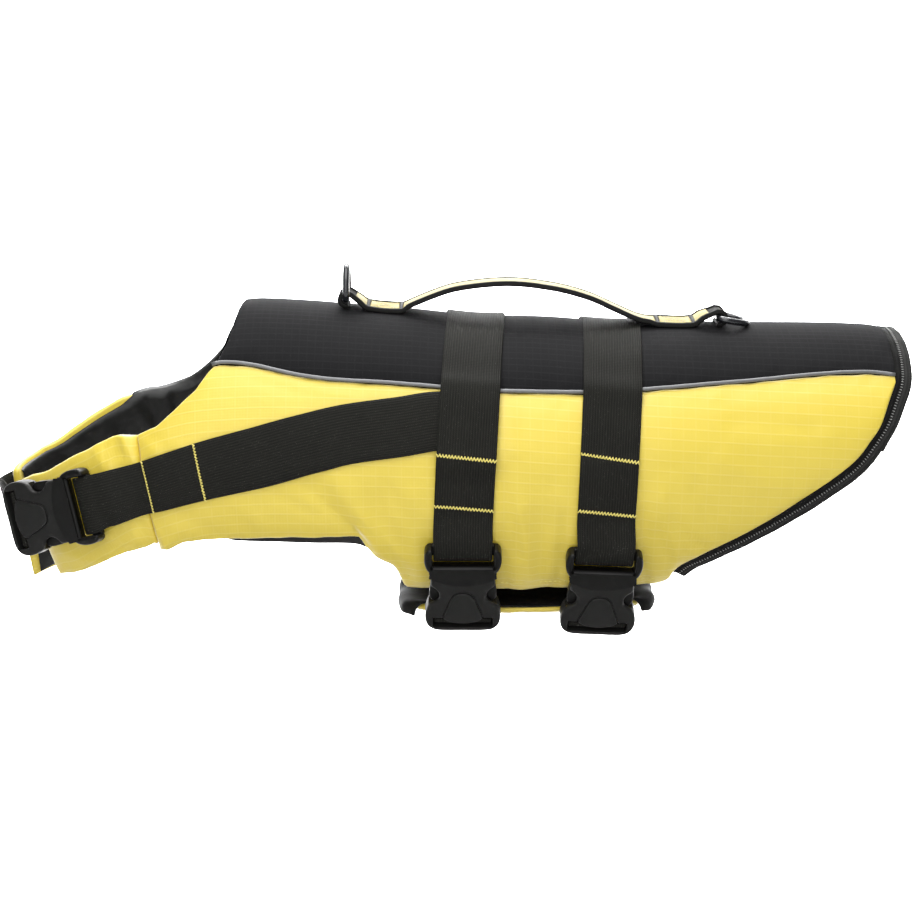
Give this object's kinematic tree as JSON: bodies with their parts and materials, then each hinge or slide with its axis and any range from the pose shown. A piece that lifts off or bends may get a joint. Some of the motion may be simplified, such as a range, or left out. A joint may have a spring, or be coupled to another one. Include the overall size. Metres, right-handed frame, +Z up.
{
  "type": "dog life jacket",
  "caption": "Foam-padded dog life jacket with a carrying handle, girth and chest straps with side-release buckles, and D-rings on the back.",
  "frame": {"origin": "on the inside of the lining under the ridge of the back, at mid length, where the dog's back carries the jacket", "axes": "+Z up, -X towards the neck, +X towards the tail, -Y the side with the buckles"},
  "size_m": [0.6102, 0.1902, 0.2413],
  "materials": {
    "ripstop_yellow": "coated ripstop weave, matt with a faint sheen",
    "ripstop_charcoal": "fine ripstop weave, matt",
    "lining_black": "smooth coated cloth, satin",
    "webbing_black": "woven webbing, matt",
    "reflective_grey": "reflective cloth over a cord, satin",
    "plastic_black": "moulded, fine matt",
    "ring_black": "glossy black coat"
  },
  "bodies": {
    "jacket": {"side_panel_near": "ripstop_yellow", "side_panel_far": "ripstop_yellow", "neck_flap_near": "ripstop_yellow", "neck_flap_far": "ripstop_yellow", "belly_panel": "ripstop_yellow", "handle_facing": "ripstop_yellow", "saddle_panel": "ripstop_charcoal", "lining_near": "lining_black", "lining_far": "lining_black", "belly_lining": "lining_black", "girth_strap_front": "webbing_black", "girth_strap_rear": "webbing_black", "belly_strap_front": "webbing_black", "belly_strap_rear": "webbing_black", "neck_strap_near": "webbing_black", "neck_strap_far": "webbing_black", "handle_strap": "webbing_black", "hem_tape": "webbing_black", "piping_near": "reflective_grey", "piping_far": "reflective_grey", "chest_buckle_male": "plastic_black", "chest_buckle_female": "plastic_black", "belly_front_buckle_male": "plastic_black", "belly_front_buckle_female": "plastic_black", "belly_rear_buckle_male": "plastic_black", "belly_rear_buckle_female": "plastic_black"},
    "front_ring": {"d_ring_front": "ring_black"},
    "rear_ring": {"d_ring_rear": "ring_black"}
  },
  "joints": [
    {"name": "front_ring_turn", "type": "hinge", "parent": "jacket", "child": "front_ring", "pos_m": [-0.1315, -0.006, 0.02484], "axis": [0, 1, 0], "range_deg": [-90, 66]},
    {"name": "rear_ring_turn", "type": "hinge", "parent": "jacket", "child": "rear_ring", "pos_m": [0.1155, -0.006, 0.01252], "axis": [0, 1, 0], "range_deg": [-155, 0]}
  ]
}
